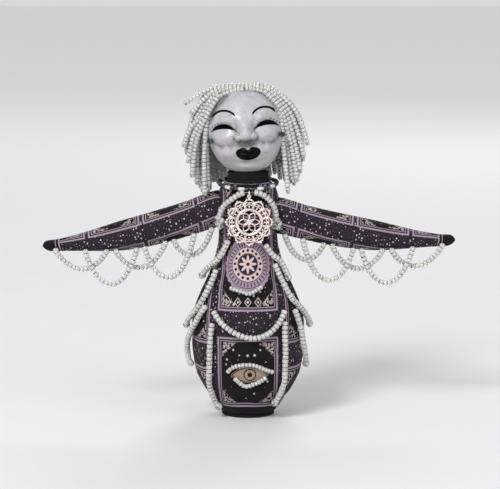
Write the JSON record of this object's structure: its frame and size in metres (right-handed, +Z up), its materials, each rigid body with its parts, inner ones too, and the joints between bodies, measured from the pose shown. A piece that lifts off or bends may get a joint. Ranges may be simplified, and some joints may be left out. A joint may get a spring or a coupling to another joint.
{
  "type": "beaded art doll",
  "caption": "Stuffed cloth art doll on a flat base, with a turning clay-faced head, bead hair, swinging wing arms with bead loops, bead strands and a filigree pendant.",
  "frame": {"origin": "middle of the flat base that the doll stands on", "axes": "+Z up, the doll faces -Y, and its left arm points along +X"},
  "size_m": [0.2107, 0.0554, 0.1677],
  "materials": {
    "print_cloth": "black printed cotton with dusty lilac lines",
    "black_cloth": "plain black cotton",
    "stuffing": "polyester fibrefill",
    "pellet_bag": "muslin bag of pellets",
    "dowel": "plain birch dowel",
    "clay": "pale grey polymer clay, hand rubbed",
    "black_lacquer": "glossy black paint",
    "silver_lined_beads": "silver-lined clear glass seed beads",
    "iris_beads": "dark teal iridescent glass",
    "antique_silver": "antiqued rose silver filigree"
  },
  "bodies": {
    "torso": {"torso_cloth": "print_cloth", "base_panel": "black_cloth", "weight_bag": "pellet_bag", "neck_post": "dowel", "torso_stuffing": "stuffing", "neck_sleeve": "black_cloth", "right_upper_strand": "silver_lined_beads", "right_middle_strand": "silver_lined_beads", "right_lower_strand": "silver_lined_beads", "right_long_strand": "silver_lined_beads", "left_upper_strand": "silver_lined_beads", "left_middle_strand": "silver_lined_beads", "left_lower_strand": "silver_lined_beads", "left_long_strand": "silver_lined_beads", "belly_swag": "silver_lined_beads", "roundel_edge": "silver_lined_beads", "eye_upper_edge": "silver_lined_beads", "eye_lower_edge": "silver_lined_beads", "collar_strand": "iris_beads", "harness_strand": "silver_lined_beads"},
    "charm": {"jump_ring": "antique_silver", "pendant": "antique_silver"},
    "head": {"skull": "stuffing", "face": "clay", "lips": "black_lacquer", "right_cheek_bead": "iris_beads", "left_cheek_bead": "iris_beads", "hair_right_side": "silver_lined_beads", "hair_right_back": "silver_lined_beads", "hair_left_side": "silver_lined_beads", "hair_left_back": "silver_lined_beads"},
    "right_arm": {"right_arm_cloth": "print_cloth", "right_arm_stuffing": "stuffing"},
    "left_arm": {"left_arm_cloth": "print_cloth", "left_arm_stuffing": "stuffing"},
    "right_fringe": {"right_loop_1": "silver_lined_beads", "right_loop_2": "silver_lined_beads", "right_loop_3": "silver_lined_beads", "right_loop_4": "silver_lined_beads", "right_loop_5": "silver_lined_beads"},
    "left_fringe": {"left_loop_1": "silver_lined_beads", "left_loop_2": "silver_lined_beads", "left_loop_3": "silver_lined_beads", "left_loop_4": "silver_lined_beads", "left_loop_5": "silver_lined_beads"}
  },
  "joints": [
    {"name": "head_turn", "type": "hinge", "parent": "torso", "child": "head", "pos_m": [0, 0, 0.1254], "axis": [0, 0, 1], "range_deg": [-20, 20]},
    {"name": "right_arm_swing", "type": "hinge", "parent": "torso", "child": "right_arm", "pos_m": [-0.01696, 0, 0.106], "axis": [0, 0, 1], "range_deg": [-20, 30]},
    {"name": "left_arm_swing", "type": "hinge", "parent": "torso", "child": "left_arm", "pos_m": [0.01666, 0, 0.1026], "axis": [0, 0, -1], "range_deg": [-20, 30]},
    {"name": "right_fringe_swing", "type": "hinge", "parent": "right_arm", "child": "right_fringe", "pos_m": [-0.03939, 0, 0.08847], "axis": [0.9936, 0, 0.1126], "range_deg": [-25, 25]},
    {"name": "left_fringe_swing", "type": "hinge", "parent": "left_arm", "child": "left_fringe", "pos_m": [0.04027, 0, 0.08676], "axis": [0.9992, 0, -0.0395], "range_deg": [-25, 25]},
    {"name": "pendant_swing", "type": "hinge", "parent": "torso", "child": "charm", "pos_m": [0.00057, -0.0155, 0.11605], "axis": [-1, 0, 0], "range_deg": [0, 60]}
  ]
}
